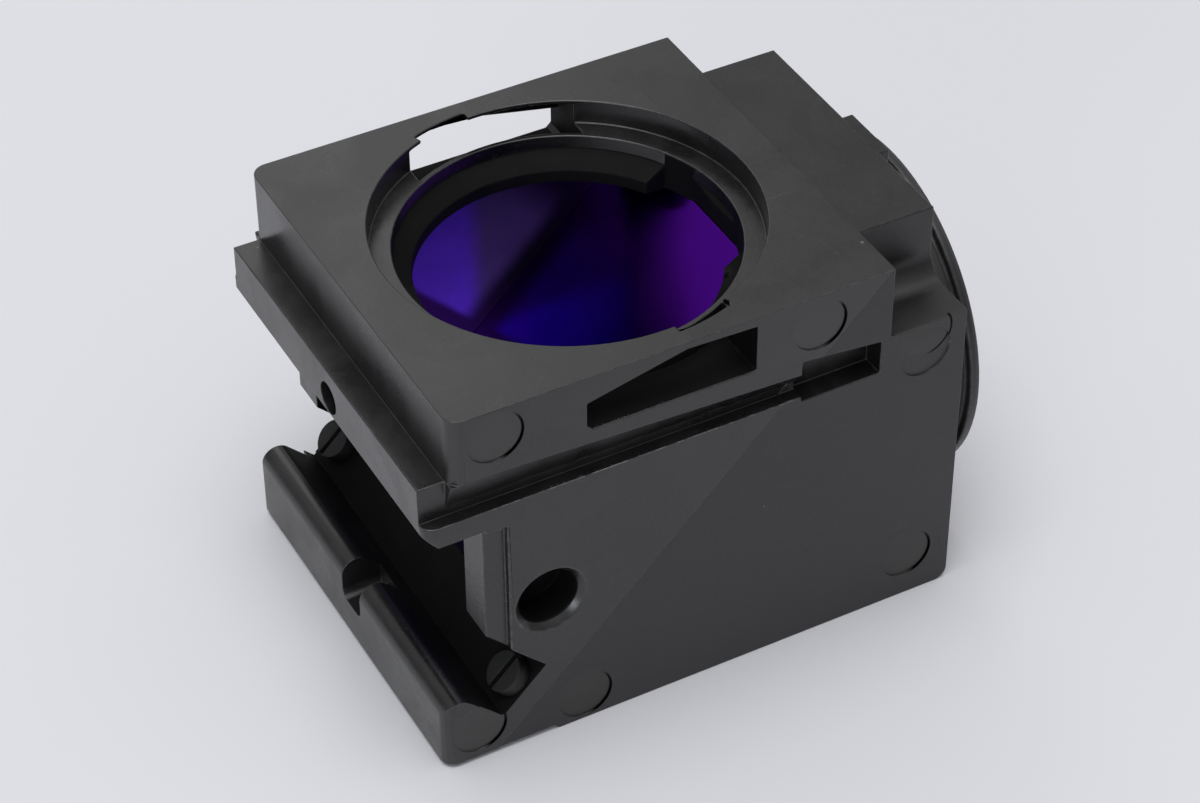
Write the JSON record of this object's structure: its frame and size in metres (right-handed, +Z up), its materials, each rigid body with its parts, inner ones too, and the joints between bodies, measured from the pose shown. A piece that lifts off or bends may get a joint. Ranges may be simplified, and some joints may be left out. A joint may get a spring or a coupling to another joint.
{
  "type": "fluorescence filter cube",
  "caption": "Black moulded fluorescence filter cube with a 45 degree seam, round emission bore, side rail grooves, violet beam splitter and flanged excitation filter ring.",
  "frame": {"origin": "centre of the objective port in the base plane, where the emission axis meets the surface the cube stands on", "axes": "+Z up along the emission axis, +X towards the excitation ring, -Y towards the near side with the blind hole"},
  "size_m": [0.0447, 0.031, 0.0308],
  "materials": {
    "shell_black": "black glass-filled moulding, slightly polished by handling",
    "splitter_glass": "interference coated, violet in reflection",
    "spring_steel": "bright rolled strip and ground pin",
    "screw_black": "blackened steel",
    "ring_black": "black anodised, turned",
    "filter_glass": "interference coated, deep blue"
  },
  "bodies": {
    "root": {"upper_shell": "shell_black", "lower_shell": "shell_black", "beam_splitter": "splitter_glass", "splitter_edge_spring": "spring_steel", "clamp_screw_near": "screw_black", "clamp_screw_far": "screw_black", "locating_pin_near": "spring_steel", "locating_pin_far": "spring_steel", "excitation_filter_ring": "ring_black", "excitation_filter_glass": "filter_glass", "excitation_retaining_ring": "ring_black"}
  },
  "joints": []
}
